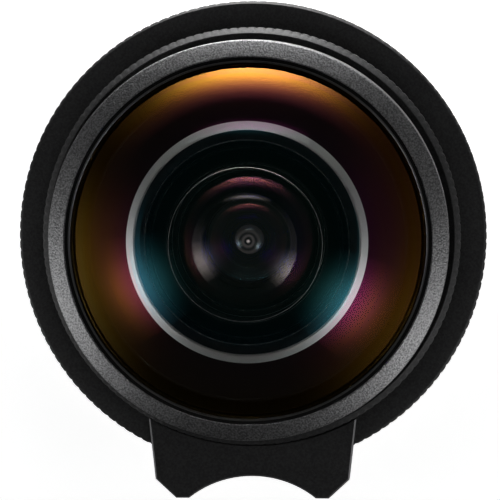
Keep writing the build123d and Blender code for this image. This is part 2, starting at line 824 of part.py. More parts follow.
with BuildPart() as iris_housing:
    revolve(
        outline(
            (STOP_OPEN_RADIUS + 0.05, plate_low),
            (hub_radius, plate_low),
            (hub_radius, hub_bottom),
            (housing_bore, hub_bottom),
            (housing_bore, plate_high),
            (STOP_OPEN_RADIUS + 0.05, plate_high),
        ),
        axis=Axis.Z,
    )
    with BuildSketch(Plane.XY.offset(plate_low + 0.05)):
        with PolarLocations(pivot_radius, BLADE_COUNT, start_angle=blade_angles[0]):
            Circle(pivot_pin + RUNNING)
    extrude(amount=1, mode=Mode.SUBTRACT)
    slot_start, slot_sweep = turning_slot(housing_bore, lever_width, 0.12)
    with BuildSketch(Plane.XY.offset(lever_low - 0.1)):
        with BuildLine():
            CenterArc((0, 0), hub_radius + 1, slot_start, slot_sweep)
            CenterArc((0, 0), housing_bore - 0.2, slot_start, slot_sweep)
            for side in (slot_start, slot_start + slot_sweep):
                Line(around(housing_bore - 0.2, side), around(hub_radius + 1, side))
        make_face()
    extrude(amount=3, mode=Mode.SUBTRACT)
    with BuildSketch(Plane.XY.offset(plate_low)):
        with PolarLocations(housing_bolt_radius, 3, start_angle=housing_bolt_angles[0]):
            Circle(0.4 + SLIP)
    extrude(amount=4, mode=Mode.SUBTRACT)
keep(iris_housing, "iris_housing")

for number, angle in enumerate(blade_angles):
    level = blade_bottom + blade_pitch * number
    blade_plane = Plane(origin=(0, 0, level), x_dir=around(1, angle) + (0,), z_dir=(0, 0, 1))
    band_middle = (STOP_OPEN_RADIUS + blade_band_outer) / 2
    band_half = (blade_band_outer - STOP_OPEN_RADIUS) / 2
    with BuildPart() as iris_blade:
        with BuildSketch(blade_plane):
            with BuildLine():
                CenterArc((0, 0), blade_band_outer, 0, blade_sweep)
                CenterArc((0, 0), STOP_OPEN_RADIUS, 0, blade_sweep)
                for side in (0, blade_sweep):
                    Line(around(STOP_OPEN_RADIUS, side), around(blade_band_outer, side))
            make_face()
            with Locations(around(band_middle, blade_sweep)):
                Circle(band_half)
            with BuildSketch() as lobe:
                with Locations((pivot_radius, 0), (band_middle, 0)):
                    Circle(band_half)
                with Locations((pivot_radius, -drive_offset)):
                    Circle(0.65)
                make_hull()
        extrude(amount=blade_thickness)
        with BuildSketch(blade_plane):
            with Locations((pivot_radius, 0)):
                Circle(pivot_pin)
        extrude(amount=plate_low + 0.15 - level)
        with BuildSketch(blade_plane):
            with Locations((pivot_radius, -drive_offset)):
                Circle(drive_pin)
        extrude(amount=cam_high - 0.15 - level)
    keep(iris_blade, f"iris_blade_{number + 1}")

cam_steps = 6
with BuildPart() as iris_cam_ring:
    revolve(hoop(STOP_OPEN_RADIUS + 0.5, housing_bore - RUNNING, cam_low, cam_high), axis=Axis.Z)
    with BuildSketch(Plane.XY.offset(cam_low)):
        for angle in blade_angles:
            places = [drive_pin_place(APERTURE_TURN * n / cam_steps) for n in range(cam_steps + 1)]
            route = [around(radius, bearing + angle) for radius, bearing in places]
            for first, second in zip(route[:-1], route[1:]):
                span = sqrt((second[0] - first[0]) ** 2 + (second[1] - first[1]) ** 2)
                lean = degrees(atan2(second[1] - first[1], second[0] - first[0]))
                middle = ((first[0] + second[0]) / 2, (first[1] + second[1]) / 2)
                with Locations(middle):
                    SlotCenterToCenter(span, 2 * (drive_pin + RUNNING), rotation=lean)
    extrude(amount=cam_high - cam_low, mode=Mode.SUBTRACT)
    with Locations((housing_bore, 0, cam_low)):
        Box(1.8, lever_width + 2 * SLIP, 4, mode=Mode.SUBTRACT)
keep(iris_cam_ring, "iris_cam_ring")

with BuildPart() as iris_lever:
    with BuildSketch(Plane.XY.offset(lever_low)):
        lever_inner = housing_bore - 0.85
        lever_outer = helicoid_bore + 0.75
        with Locations(((lever_inner + lever_outer) / 2, 0)):
            RectangleRounded(lever_outer - lever_inner, lever_width, 0.25)
    extrude(amount=lever_high - lever_low)
keep(iris_lever, "iris_lever")

with BuildPart() as iris_cover:
    revolve(
        hoop(STOP_OPEN_RADIUS + 0.6, housing_bore - SLIP, lever_high + 0.1, hub_bottom - 0.02), axis=Axis.Z
    )
keep(iris_cover, "iris_cover")

# Rear cell: a tube under the iris with a cemented doublet and the rear element
doublet_edge = 4.5
doublet_vertex = 4.7
doublet_front_edge = 4.45
doublet_rim = doublet_vertex - depth_of_curve(8.0, doublet_front_edge)
cement_rim = doublet_rim - 0.2
cement_vertex = cement_rim - depth_of_curve(5.5, doublet_front_edge)
doublet_rear_vertex = 0.1
rear_edge = 5.0
rear_vertex = -0.2
rear_front_edge = 4.95
rear_rim = rear_vertex - depth_of_curve(12.0, rear_front_edge)
rear_flat = -2.2
rear_back_vertex = rear_flat - depth_of_curve(16.0, rear_front_edge)
rear_seat = doublet_vertex - depth_of_curve(8.0, 3.9)
rear_end = -3.2
doublet_bore = doublet_edge + SLIP
rear_bore = rear_edge + SLIP

with BuildPart() as doublet_front:
    revolve(
        element_outline(
            (doublet_vertex, 8.0),
            (cement_vertex, -5.5),
            doublet_front_edge,
            doublet_front_edge,
            cement_rim,
            doublet_front_edge,
        ),
        axis=Axis.Z,
    )
keep(doublet_front, "doublet_front")

with BuildPart() as doublet_rear:
    revolve(
        element_outline(
            (cement_vertex, -5.5),
            (doublet_rear_vertex, -20.0),
            doublet_front_edge,
            doublet_front_edge,
            doublet_rear_vertex + depth_of_curve(20.0, doublet_front_edge),
            doublet_front_edge,
        ),
        axis=Axis.Z,
    )
keep(doublet_rear, "doublet_rear")

with BuildPart() as rear_element:
    revolve(
        element_outline(
            (rear_vertex, 12.0),
            (rear_back_vertex, -16.0),
            rear_front_edge,
            rear_front_edge,
            rear_flat,
            rear_front_edge,
        ),
        axis=Axis.Z,
    )
keep(rear_element, "rear_element")

with BuildPart() as rear_spacer:
    spacer_inner = doublet_edge - 0.35
    revolve(
        hoop(
            spacer_inner,
            doublet_edge,
            rear_vertex - depth_of_curve(12.0, spacer_inner) + 0.01,
            doublet_rear_vertex + depth_of_curve(20.0, spacer_inner) - 0.01,
        ),
        axis=Axis.Z,
    )
keep(rear_spacer, "rear_spacer")

rear_thread = rear_edge + 0.45
with BuildPart() as rear_cell:
    revolve(
        outline(
            (3.9, plate_low),
            (hub_radius, plate_low),
            (hub_radius, plate_low - 0.6),
            (rear_cell_radius, plate_low - 0.6),
            (rear_cell_radius, rear_end + EDGE),
            (rear_cell_radius - EDGE, rear_end),
            (rear_thread, rear_end),
            (rear_thread, rear_flat - 0.1),
            (rear_bore, rear_flat - 0.1),
            (rear_bore, -0.3),
            (doublet_bore, -0.3),
            (doublet_bore, rear_seat + 0.02),
            (3.9, rear_seat + 0.02),
        ),
        axis=Axis.Z,
    )
    with BuildSketch(Plane.XY.offset(plate_low - 1)):
        with PolarLocations(housing_bolt_radius, 3, start_angle=housing_bolt_angles[0]):
            Circle(0.4 + SLIP)
    extrude(amount=2, mode=Mode.SUBTRACT)
keep(rear_cell, "rear_cell")

with BuildPart() as rear_retainer:
    retainer_inner = 4.5
    retainer_face = rear_back_vertex + depth_of_curve(16.0, retainer_inner) - 0.02
    revolve(
        outline(
            (retainer_inner, retainer_face),
            (retainer_inner + 0.2, rear_end + 0.2),
            (rear_thread - SLIP, rear_end + 0.2),
            (rear_thread - SLIP, retainer_face),
        ),
        axis=Axis.Z,
    )
    with BuildSketch(Plane.XY.offset(rear_end)):
        with PolarLocations(rear_thread, 2):
            Rectangle(0.9, 0.6)
    extrude(amount=0.5, mode=Mode.SUBTRACT)
keep(rear_retainer, "rear_retainer")

with BuildPart() as rear_cell_screws:
    places = [around(housing_bolt_radius, a) for a in housing_bolt_angles]
    with BuildSketch(Plane.XY.offset(plate_low - 0.6 - 0.4)):
        with Locations(*places):
            Circle(0.62)
    extrude(amount=0.4)
    with BuildSketch(Plane.XY.offset(plate_low - 0.6)):
        with Locations(*places):
            Circle(0.4)
    extrude(amount=hub_bottom + 1.5 - plate_low + 0.6)
    with BuildSketch(Plane.XY.offset(plate_low - 0.6 - 0.4)):
        with Locations(*places):
            Rectangle(0.9, 0.18)
    extrude(amount=0.2, mode=Mode.SUBTRACT)
keep(rear_cell_screws, "rear_cell_screws")

print("blade swing", round(blade_swing, 3), "ratio", round(blade_ratio, 5))
print("bowl radius", round(bowl_radius, 3), "second vertex", round(second_vertex, 3))
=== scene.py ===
from math import asin, atan2, cos, degrees, pi, radians, sin, sqrt

import bmesh
import bpy
from mathutils import Matrix, Vector


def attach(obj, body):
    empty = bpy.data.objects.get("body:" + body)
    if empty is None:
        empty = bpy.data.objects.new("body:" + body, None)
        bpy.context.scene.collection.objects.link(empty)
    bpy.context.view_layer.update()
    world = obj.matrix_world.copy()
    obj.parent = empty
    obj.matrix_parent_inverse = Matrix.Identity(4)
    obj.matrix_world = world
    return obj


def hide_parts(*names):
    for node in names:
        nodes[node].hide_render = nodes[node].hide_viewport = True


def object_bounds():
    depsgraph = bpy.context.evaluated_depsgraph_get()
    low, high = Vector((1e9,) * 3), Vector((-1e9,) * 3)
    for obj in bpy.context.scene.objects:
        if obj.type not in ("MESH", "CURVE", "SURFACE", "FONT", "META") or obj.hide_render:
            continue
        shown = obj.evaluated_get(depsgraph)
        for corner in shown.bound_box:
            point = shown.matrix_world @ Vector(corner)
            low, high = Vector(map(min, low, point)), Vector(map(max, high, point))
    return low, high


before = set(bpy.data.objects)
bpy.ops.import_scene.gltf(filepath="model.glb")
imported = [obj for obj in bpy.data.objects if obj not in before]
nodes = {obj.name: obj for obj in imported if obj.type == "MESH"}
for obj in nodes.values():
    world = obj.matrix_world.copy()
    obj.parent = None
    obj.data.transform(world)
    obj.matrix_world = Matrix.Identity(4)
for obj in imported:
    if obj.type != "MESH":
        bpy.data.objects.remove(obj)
cad_low, cad_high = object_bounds()

# Bayonet mount: a brass ring, turned, plated with satin chrome and held by three countersunk screws.
# Its collar and lugs go into the camera, and its flange lies against the camera's own ring.
CHROME = (0.62, 0.61, 0.59)
STEEL = (0.42, 0.42, 0.43)
MARK_DRIFT = 60  # how fast the turning marks change across the piece, per metre


def new_finish(name, colour, roughness, metallic=0.0):
    """A new material, its node tree and its shader, with even values that textures may take over."""
    material = bpy.data.materials.new(name)
    material.use_nodes = True
    shader = material.node_tree.nodes["Principled BSDF"]
    shader.inputs["Base Color"].default_value = (*colour, 1)
    shader.inputs["Roughness"].default_value = roughness
    shader.inputs["Metallic"].default_value = metallic
    return material, material.node_tree, shader


def new_group(name, inputs, outputs):
    """An empty node group with number inputs (name, value) and number outputs."""
    group = bpy.data.node_groups.new(name, "ShaderNodeTree")
    for label, value in inputs:
        socket = group.interface.new_socket(label, in_out="INPUT", socket_type="NodeSocketFloat")
        socket.default_value = value
    for label in outputs:
        group.interface.new_socket(label, in_out="OUTPUT", socket_type="NodeSocketFloat")
    return group, group.nodes.new("NodeGroupInput"), group.nodes.new("NodeGroupOutput")


def calculate(tree, operation, first, second=None):
    """A math node; first and second are sockets or numbers."""
    node = tree.nodes.new("ShaderNodeMath")
    node.operation = operation
    for socket, value in zip(node.inputs, (first, second)):
        if isinstance(value, bpy.types.NodeSocket):
            tree.links.new(value, socket)
        elif value is not None:
            socket.default_value = value
    return node.outputs[0]


def make_turning_marks():
    """Fine rings about the lens axis, as a lathe tool leaves them on faces and barrels."""
    tree, given, result = new_group("turning_marks", [("Marks Per Metre", 9000)], ["Marks"])
    place = tree.nodes.new("ShaderNodeTexCoord").outputs["Object"]
    parts = tree.nodes.new("ShaderNodeSeparateXYZ")
    tree.links.new(place, parts.inputs[0])
    across = calculate(tree, "MULTIPLY", parts.outputs["X"], parts.outputs["X"])
    along = calculate(tree, "MULTIPLY", parts.outputs["Y"], parts.outputs["Y"])
    radius = calculate(tree, "SQRT", calculate(tree, "ADD", across, along))
    rings = tree.nodes.new("ShaderNodeCombineXYZ")
    count = given.outputs["Marks Per Metre"]
    tree.links.new(calculate(tree, "MULTIPLY", radius, count), rings.inputs["X"])
    tree.links.new(calculate(tree, "MULTIPLY", parts.outputs["Z"], count), rings.inputs["Y"])
    tree.links.new(calculate(tree, "MULTIPLY", parts.outputs["X"], MARK_DRIFT), rings.inputs["Z"])
    noise = tree.nodes.new("ShaderNodeTexNoise")
    noise.inputs["Scale"].default_value = 1
    noise.inputs["Detail"].default_value = 3
    tree.links.new(rings.outputs[0], noise.inputs["Vector"])
    tree.links.new(noise.outputs["Fac"], result.inputs["Marks"])
    return tree


def make_smudges():
    """Soft patches where hands and cloths have changed the gloss a little."""
    tree, given, result = new_group("smudges", [("Patches Per Metre", 180)], ["Amount"])
    place = tree.nodes.new("ShaderNodeTexCoord").outputs["Object"]
    noise = tree.nodes.new("ShaderNodeTexNoise")
    noise.inputs["Detail"].default_value = 4
    noise.inputs["Roughness"].default_value = 0.6
    tree.links.new(place, noise.inputs["Vector"])
    tree.links.new(given.outputs["Patches Per Metre"], noise.inputs["Scale"])
    tree.links.new(noise.outputs["Fac"], result.inputs["Amount"])
    return tree


turning_marks = make_turning_marks()
smudges = make_smudges()


def place_group(tree, group, **values):
    """Puts a node group into a tree, with its inputs set by name, and returns its first output."""
    node = tree.nodes.new("ShaderNodeGroup")
    node.node_tree = group
    for name, value in values.items():
        node.inputs[name.replace("_", " ")].default_value = value
    return node.outputs[0]


def spread(tree, value, low, high, start=0.25, end=0.75):
    """Maps a texture's middle range to the range from low to high."""
    node = tree.nodes.new("ShaderNodeMapRange")
    tree.links.new(value, node.inputs["Value"])
    node.inputs["From Min"].default_value = start
    node.inputs["From Max"].default_value = end
    node.inputs["To Min"].default_value = low
    node.inputs["To Max"].default_value = high
    return node.outputs["Result"]


def raise_surface(tree, shader, height, distance, strength=1.0):
    """Bumps a shader's surface by a height from 0 to 1 over a distance in metres."""
    bump = tree.nodes.new("ShaderNodeBump")
    bump.inputs["Distance"].default_value = distance
    bump.inputs["Strength"].default_value = strength
    tree.links.new(height, bump.inputs["Height"])
    tree.links.new(bump.outputs[0], shader.inputs["Normal"])


def lathe_finish(name, colour, roughness, metallic, marks_per_metre, mark_depth, swing=0.06):
    """Turned metal: rings in the gloss and in the surface, and soft smudges over them."""
    material, tree, shader = new_finish(name, colour, roughness, metallic)
    marks = place_group(tree, turning_marks, Marks_Per_Metre=marks_per_metre)
    patches = place_group(tree, smudges)
    gloss = spread(tree, marks, roughness - swing, roughness + swing)
    change = spread(tree, patches, -0.5 * swing, 0.5 * swing)
    tree.links.new(calculate(tree, "ADD", gloss, change), shader.inputs["Roughness"])
    raise_surface(tree, shader, marks, mark_depth)
    return material


def dress(material, *names):
    """Gives a CAD node's material slots a finish."""
    for name in names:
        for slot in nodes[name].material_slots:
            slot.material = material


chrome = lathe_finish(
    "satin_chrome", CHROME, roughness=0.24, metallic=1.0, marks_per_metre=14000, mark_depth=0.000002
)
steel = lathe_finish(
    "turned_steel", STEEL, roughness=0.3, metallic=1.0, marks_per_metre=9000, mark_depth=0.000002
)
dress(chrome, "bayonet_mount")
dress(steel, "mount_screws", "key_screw", "linear_key", "stop_pin")
dress(steel, "cell_screws", "rear_cell_screws", "iris_lever")

# Fixed barrel and rear cell: aluminium, turned and anodised black, with a red bead that lines up with the
# camera. The helicoid, its retainer, the head's sleeve and the cam ring are brass, and the light trap,
# the seal and the holders round the glass are dead black.
ANODISED = (0.011, 0.011, 0.012)
BLACKENED = (0.03, 0.03, 0.032)
BRASS = (0.58, 0.40, 0.17)
FLAT_BLACK = (0.006, 0.006, 0.006)
RED_ENAMEL = (0.45, 0.012, 0.012)
WASHER_WHITE = (0.72, 0.71, 0.66)

anodised = lathe_finish(
    "black_anodised", ANODISED, roughness=0.36, metallic=0.0, marks_per_metre=11000, mark_depth=0.0000015
)
blackened = lathe_finish(
    "blackened_steel", BLACKENED, roughness=0.4, metallic=0.6, marks_per_metre=9000, mark_depth=0.000002
)
brass = lathe_finish(
    "turned_brass", BRASS, roughness=0.3, metallic=1.0, marks_per_metre=12000, mark_depth=0.000003
)
dress(anodised, "base_barrel", "rear_cell")
dress(blackened, "baffle_screws", "grub_screws", "tab_screws")
dress(brass, "helicoid_retainer", "focus_helicoid", "head_barrel", "iris_cam_ring")


def smudge_gloss(tree, shader, low, high, per_metre=180):
    """Lets the roughness wander from low to high in soft patches, and returns the patches."""
    patches = place_group(tree, smudges, Patches_Per_Metre=per_metre)
    tree.links.new(spread(tree, patches, low, high), shader.inputs["Roughness"])
    return patches


def make_flat_black():
    """Dead black paint: very rough, with a fine mottled grain."""
    material, tree, shader = new_finish("flat_black_paint", FLAT_BLACK, roughness=0.75)
    patches = smudge_gloss(tree, shader, low=0.65, high=0.85, per_metre=4000)
    raise_surface(tree, shader, patches, distance=0.00001, strength=0.6)
    shader.inputs["Specular IOR Level"].default_value = 0.25
    return material


def make_enamel():
    """Glossy red enamel with a slightly uneven skin."""
    material, tree, shader = new_finish("red_enamel", RED_ENAMEL, roughness=0.2)
    patches = smudge_gloss(tree, shader, low=0.14, high=0.26, per_metre=1500)
    raise_surface(tree, shader, patches, distance=0.00001, strength=0.5)
    return material


def make_washer_plastic():
    """Milky low-friction sheet."""
    material, tree, shader = new_finish("low_friction_sheet", WASHER_WHITE, roughness=0.45)
    smudge_gloss(tree, shader, low=0.38, high=0.55, per_metre=900)
    return material


flat_black = make_flat_black()
dress(flat_black, "rear_baffle", "rear_spacer", "rear_retainer", "front_cell", "front_gasket")
dress(flat_black, "second_retainer", "spacer_ring", "iris_housing", "iris_cover")
dress(make_enamel(), "index_dot")
dress(make_washer_plastic(), "friction_washer")

# Focus ring and finger tab: aluminium, anodised black. The ring is ribbed all round and fixed on the helicoid
# by three grub screws. The tab is screwed to it at six o'clock, with a hollow for a fingertip.
MM = 0.001
WELD_GAP = 0.0005  # points closer than this, in mm, are one
SATIN_BLACK = (0.021, 0.021, 0.022)
SATIN_DARK = (0.013, 0.013, 0.0135)
SATIN_PALE = (0.034, 0.034, 0.035)
# The focus tab's chamfers are painted a paler, partly metallic grey: a painted highlight along its edges.
EDGE_HIGHLIGHT_GREY = (0.22, 0.22, 0.225)
EDGE_HIGHLIGHT_METAL = 0.8  # metallic share of the painted highlight on the chamfers
CHAMFER_SLANT = 0.7  # share of the axis in the normal of a chamfer at 45 degrees


def eased(points, size):
    """Rounds the corners of an outline in mm; the first and last points stay."""
    soft = [points[0]]
    for before, corner, after in zip(points[:-2], points[1:-1], points[2:]):
        corner_point = Vector(corner)
        way_in = Vector(before) - corner_point
        way_out = Vector(after) - corner_point
        cut = min(size, 0.4 * way_in.length, 0.4 * way_out.length)
        start = corner_point + way_in.normalized() * cut
        end = corner_point + way_out.normalized() * cut
        for share in (0, 0.33, 0.67, 1):
            point = start.lerp(corner_point, share).lerp(corner_point.lerp(end, share), share)
            soft.append((point.x, point.y))
    soft.append(points[-1])
    return soft


def spin_piece(name, runs, sector_steps=16, repeats=16, sharp_angle=25):
    """Turns outlines about the lens axis into one piece. Each run is a finish and its points in mm.

    One sector is spun in a few steps and then repeated all the way round."""
    shape = bmesh.new()
    finishes = list(dict.fromkeys(finish for finish, points in runs))
    for finish, points in runs:
        corners = [shape.verts.new((out * MM, 0, height * MM)) for out, height in points]
        sides = [shape.edges.new(pair) for pair in zip(corners[:-1], corners[1:])]
        bmesh.ops.spin(
            shape,
            geom=corners + sides,
            cent=(0, 0, 0),
            axis=(0, 0, 1),
            dvec=(0, 0, 0),
            angle=2 * pi / repeats,
            steps=sector_steps,
        )
        for face in shape.faces:
            if not face.tag:
                face.material_index = finishes.index(finish)
                face.tag = True
    bmesh.ops.spin(
        shape,
        geom=shape.verts[:] + shape.edges[:] + shape.faces[:],
        cent=(0, 0, 0),
        axis=(0, 0, 1),
        dvec=(0, 0, 0),
        angle=2 * pi * (repeats - 1) / repeats,
        steps=repeats - 1,
        use_duplicate=True,
    )
    bmesh.ops.remove_doubles(shape, verts=shape.verts, dist=WELD_GAP * MM)
    bmesh.ops.recalc_face_normals(shape, faces=shape.faces)
    limit = radians(sharp_angle)
    for face in shape.faces:
        face.smooth = True
    for edge in shape.edges:
        if len(edge.link_faces) == 2:
            first, second = edge.link_faces
            edge.smooth = first.material_index == second.material_index and edge.calc_face_angle(0) < limit
    mesh = bpy.data.meshes.new(name)
    shape.to_mesh(mesh)
    shape.free()
    for finish in finishes:
        mesh.materials.append(finish)
    piece = bpy.data.objects.new(name, mesh)
    bpy.context.scene.collection.objects.link(piece)
    return piece


def add_grain(tree, shader, dark, pale, scale, detail, start, end):
    """Mottles the colour between dark and pale with a fine random grain, and returns the grain."""
    place = tree.nodes.new("ShaderNodeTexCoord").outputs["Object"]
    grain = tree.nodes.new("ShaderNodeTexNoise")
    grain.inputs["Scale"].default_value = scale
    grain.inputs["Detail"].default_value = detail
    tree.links.new(place, grain.inputs["Vector"])
    tone = tree.nodes.new("ShaderNodeMix")
    tone.data_type = "RGBA"
    tone.inputs["A"].default_value = (*dark, 1)
    tone.inputs["B"].default_value = (*pale, 1)
    tree.links.new(spread(tree, grain.outputs["Fac"], 0, 1, start, end), tone.inputs["Factor"])
    tree.links.new(tone.outputs["Result"], shader.inputs["Base Color"])
    return grain.outputs["Fac"]


def make_satin_black():
    """Black anodising over a finely etched surface, with a mottled grain that shows in raking light."""
    material, tree, shader = new_finish("satin_black_anodised", SATIN_BLACK, roughness=0.5)
    grain = add_grain(tree, shader, SATIN_DARK, SATIN_PALE, scale=5000, detail=3, start=0.35, end=0.65)
    smudge_gloss(tree, shader, low=0.42, high=0.56)
    raise_surface(tree, shader, grain, distance=0.000012)
    return material


def make_edge_highlit_black():
    """The same black with a paler painted highlight on chamfers, known by their slanting normal."""
    material = satin_black.copy()
    material.name = "black_anodised_painted_highlight"
    tree = material.node_tree
    shader = tree.nodes["Principled BSDF"]
    facing = tree.nodes.new("ShaderNodeSeparateXYZ")
    tree.links.new(tree.nodes.new("ShaderNodeTexCoord").outputs["Normal"], facing.inputs[0])
    upright = calculate(tree, "ABSOLUTE", facing.outputs["Z"])
    slant = calculate(tree, "ABSOLUTE", calculate(tree, "SUBTRACT", upright, CHAMFER_SLANT))
    # Painted highlight: 1 where the normal slants as on a 45 degree chamfer, else 0.
    painted_highlight = spread(tree, slant, low=1, high=0, start=0.1, end=0.2)
    highlight_mix = tree.nodes.new("ShaderNodeMix")
    highlight_mix.data_type = "RGBA"
    tree.links.new(painted_highlight, highlight_mix.inputs["Factor"])
    tree.links.new(shader.inputs["Base Color"].links[0].from_socket, highlight_mix.inputs["A"])
    highlight_mix.inputs["B"].default_value = (*EDGE_HIGHLIGHT_GREY, 1)
    tree.links.new(highlight_mix.outputs["Result"], shader.inputs["Base Color"])
    tree.links.new(calculate(tree, "MULTIPLY", painted_highlight, EDGE_HIGHLIGHT_METAL), shader.inputs["Metallic"])
    return material


satin_black = make_satin_black()
# The tab gets the black with a painted highlight on its chamfers.
dress(make_edge_highlit_black(), "focus_tab")

RIB_COUNT = 144
STEPS_PER_RIB = 8
RIB_DEPTH = 0.085
GROOVE_SHARE = 0.24  # half the width of a groove, as a share of the rib spacing
CORNER_ROUND = 0.05
FOCUS_RADIUS = cad_high.x / MM
FOCUS_TOP = 6.5
FOCUS_SHOULDER = 4.2
FOCUS_FOOT = 2.4
FOCUS_CHAMFER_IN = 0.24
FOCUS_CHAMFER_DOWN = 0.26
RIB_FOOT = 3.4
SCALE_STEP = 0.2
SKIRT_BORE = 21.5
HELICOID_RADIUS = 19.43


def rib_cut(angle):
    """Share of the groove depth at an angle: flat lands with a narrow V between them."""
    phase = angle / (2 * pi) * RIB_COUNT % 1
    return max(0.0, 1 - abs(phase - 0.5) / GROOVE_SHARE)


def ribbed_ring(name, outline, crest, low, high, finish):
    """A turned ring with grooves along the axis, cut where its wall lies above the groove bottom."""
    ring = spin_piece(name, [(finish, outline + outline[:1])], STEPS_PER_RIB, RIB_COUNT)
    for vertex in ring.data.vertices:
        out = sqrt(vertex.co.x**2 + vertex.co.y**2)
        if not low <= vertex.co.z / MM <= high or out < (crest - RIB_DEPTH) * MM:
            continue
        bottom = (crest - RIB_DEPTH * rib_cut(atan2(vertex.co.y, vertex.co.x))) * MM
        if out > bottom:
            vertex.co.x *= bottom / out
            vertex.co.y *= bottom / out
    return ring


focus_outline = eased(
    [
        (HELICOID_RADIUS, FOCUS_SHOULDER),
        (HELICOID_RADIUS, FOCUS_TOP),
        (FOCUS_RADIUS - FOCUS_CHAMFER_IN, FOCUS_TOP),
        (FOCUS_RADIUS, FOCUS_TOP - FOCUS_CHAMFER_DOWN),
        (FOCUS_RADIUS, RIB_FOOT),
        (FOCUS_RADIUS - SCALE_STEP, RIB_FOOT - SCALE_STEP),
        (FOCUS_RADIUS - SCALE_STEP, FOCUS_FOOT),
        (SKIRT_BORE, FOCUS_FOOT),
        (SKIRT_BORE, FOCUS_SHOULDER),
    ],
    CORNER_ROUND,
)
focus_ring = ribbed_ring("ribbed_focus_ring", focus_outline, FOCUS_RADIUS, RIB_FOOT, FOCUS_TOP, satin_black)
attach(focus_ring, "focus")
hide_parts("focus_ring")

# Aperture ring: black anodised aluminium with the same ribs and a turned chamfer in front.
# It turns on the head and drives the iris through a lever.
APERTURE_RADIUS = 20.1
APERTURE_BORE = 18.45
APERTURE_FOOT = 6.9
APERTURE_TOP = 9.5
APERTURE_CHAMFER = 0.6
APERTURE_BEVEL = 0.2
CREST_RADIUS = 19.55
RECESS_RADIUS = 19.45
RECESS_FLOOR = 8.7
RIB_TOP = APERTURE_TOP - 0.5
aperture_outline = eased(
    [
        (APERTURE_BORE, APERTURE_FOOT),
        (APERTURE_RADIUS - APERTURE_BEVEL, APERTURE_FOOT),
        (APERTURE_RADIUS, APERTURE_FOOT + APERTURE_BEVEL),
        (APERTURE_RADIUS, APERTURE_TOP - APERTURE_CHAMFER),
        (CREST_RADIUS, APERTURE_TOP),
        (RECESS_RADIUS, APERTURE_TOP),
        (RECESS_RADIUS, RECESS_FLOOR),
        (APERTURE_BORE, RECESS_FLOOR),
    ],
    CORNER_ROUND,
)
aperture_ring = ribbed_ring(
    "ribbed_aperture_ring", aperture_outline, APERTURE_RADIUS, APERTURE_FOOT, RIB_TOP, satin_black
)
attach(aperture_ring, "aperture")
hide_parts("aperture_ring")

# Iris blades: seven thin blades of blackened spring steel between the iris housing and the cam ring.
# Each swings on its own pivot in the housing and is driven by a slot of the cam ring.
BLADE_COUNT = 7
BLADE_STEEL = (0.035, 0.035, 0.038)
blade_finish = lathe_finish(
    "blade_steel", BLADE_STEEL, roughness=0.42, metallic=0.7, marks_per_metre=6000, mark_depth=0.000001
)
dress(blade_finish, *[f"iris_blade_{number}" for number in range(1, BLADE_COUNT + 1)])

# Front element: a deep meniscus of dense glass, coated on both polished sides, whose bowl ends in a ground
# bevel. Its flats and its edge are lacquered black, and the front ring clamps it in its cell.
LENGTH = cad_high.z / MM
DOME_RADIUS = 20.0
GLASS_RADIUS = 16.95
LACQUER = (0.013, 0.014, 0.014)
GROUND_GREY = (0.80, 0.84, 0.84)


def curve_points(vertex, radius, start, end, count):
    """Points (radius, height) along a spherical surface, between two distances from the axis."""
    points = []
    for number in range(count + 1):
        out = start + (end - start) * number / count
        fall = abs(radius) - sqrt(radius**2 - out**2)
        points.append((out, vertex - fall if radius > 0 else vertex + fall))
    return points


def coated_glass(name, index, film, film_index=1.38):
    """Clear optical glass with a thin coating; film is the coating's thickness in nanometres."""
    material, tree, shader = new_finish(name, (1, 1, 1), roughness=0.0)
    shader.inputs["Transmission Weight"].default_value = 1
    shader.inputs["IOR"].default_value = index
    shader.inputs["Thin Film Thickness"].default_value = film
    shader.inputs["Thin Film IOR"].default_value = film_index
    return material


def make_edge_paint():
    """Black lacquer on the ground glass."""
    material, tree, shader = new_finish("edge_lacquer", LACQUER, roughness=0.6)
    smudge_gloss(tree, shader, low=0.5, high=0.7, per_metre=2500)
    shader.inputs["Specular IOR Level"].default_value = 0
    return material


def make_ground_glass():
    """Finely ground glass, left grey."""
    material, tree, shader = new_finish("ground_glass", GROUND_GREY, roughness=0.4, metallic=0.9)
    smudge_gloss(tree, shader, low=0.36, high=0.46, per_metre=3000)
    return material


# The coating's thickness changes from the middle to the rim, in four zones on the dome and two in the bowl.
# The first edge on the dome lies over the ground bevel, where it can't be seen.
DENSE_GLASS = 1.62
centre_coat = coated_glass("front_centre_coating", DENSE_GLASS, film=350, film_index=1.46)
dome_coat = coated_glass("front_coating", DENSE_GLASS, film=334, film_index=1.28)
outer_coat = coated_glass("front_outer_coating", DENSE_GLASS, film=339, film_index=1.28)
rim_coat = coated_glass("front_rim_coating", DENSE_GLASS, film=350, film_index=1.28)
bowl_coat = coated_glass("bowl_coating", DENSE_GLASS, film=60)
steep_bowl_coat = coated_glass("steep_bowl_coating", DENSE_GLASS, film=192, film_index=1.27)
edge_paint = make_edge_paint()
ground_glass = make_ground_glass()

CENTRE_COAT_EDGE = 10.75
DOME_COAT_EDGE = 13.2
OUTER_COAT_EDGE = 15.9
dome_centre = curve_points(LENGTH, DOME_RADIUS, 0, CENTRE_COAT_EDGE, count=44)
dome = curve_points(LENGTH, DOME_RADIUS, CENTRE_COAT_EDGE, DOME_COAT_EDGE, count=12)
outer_dome = curve_points(LENGTH, DOME_RADIUS, DOME_COAT_EDGE, OUTER_COAT_EDGE, count=13)
dome_rim = curve_points(LENGTH, DOME_RADIUS, OUTER_COAT_EDGE, GLASS_RADIUS, count=6)

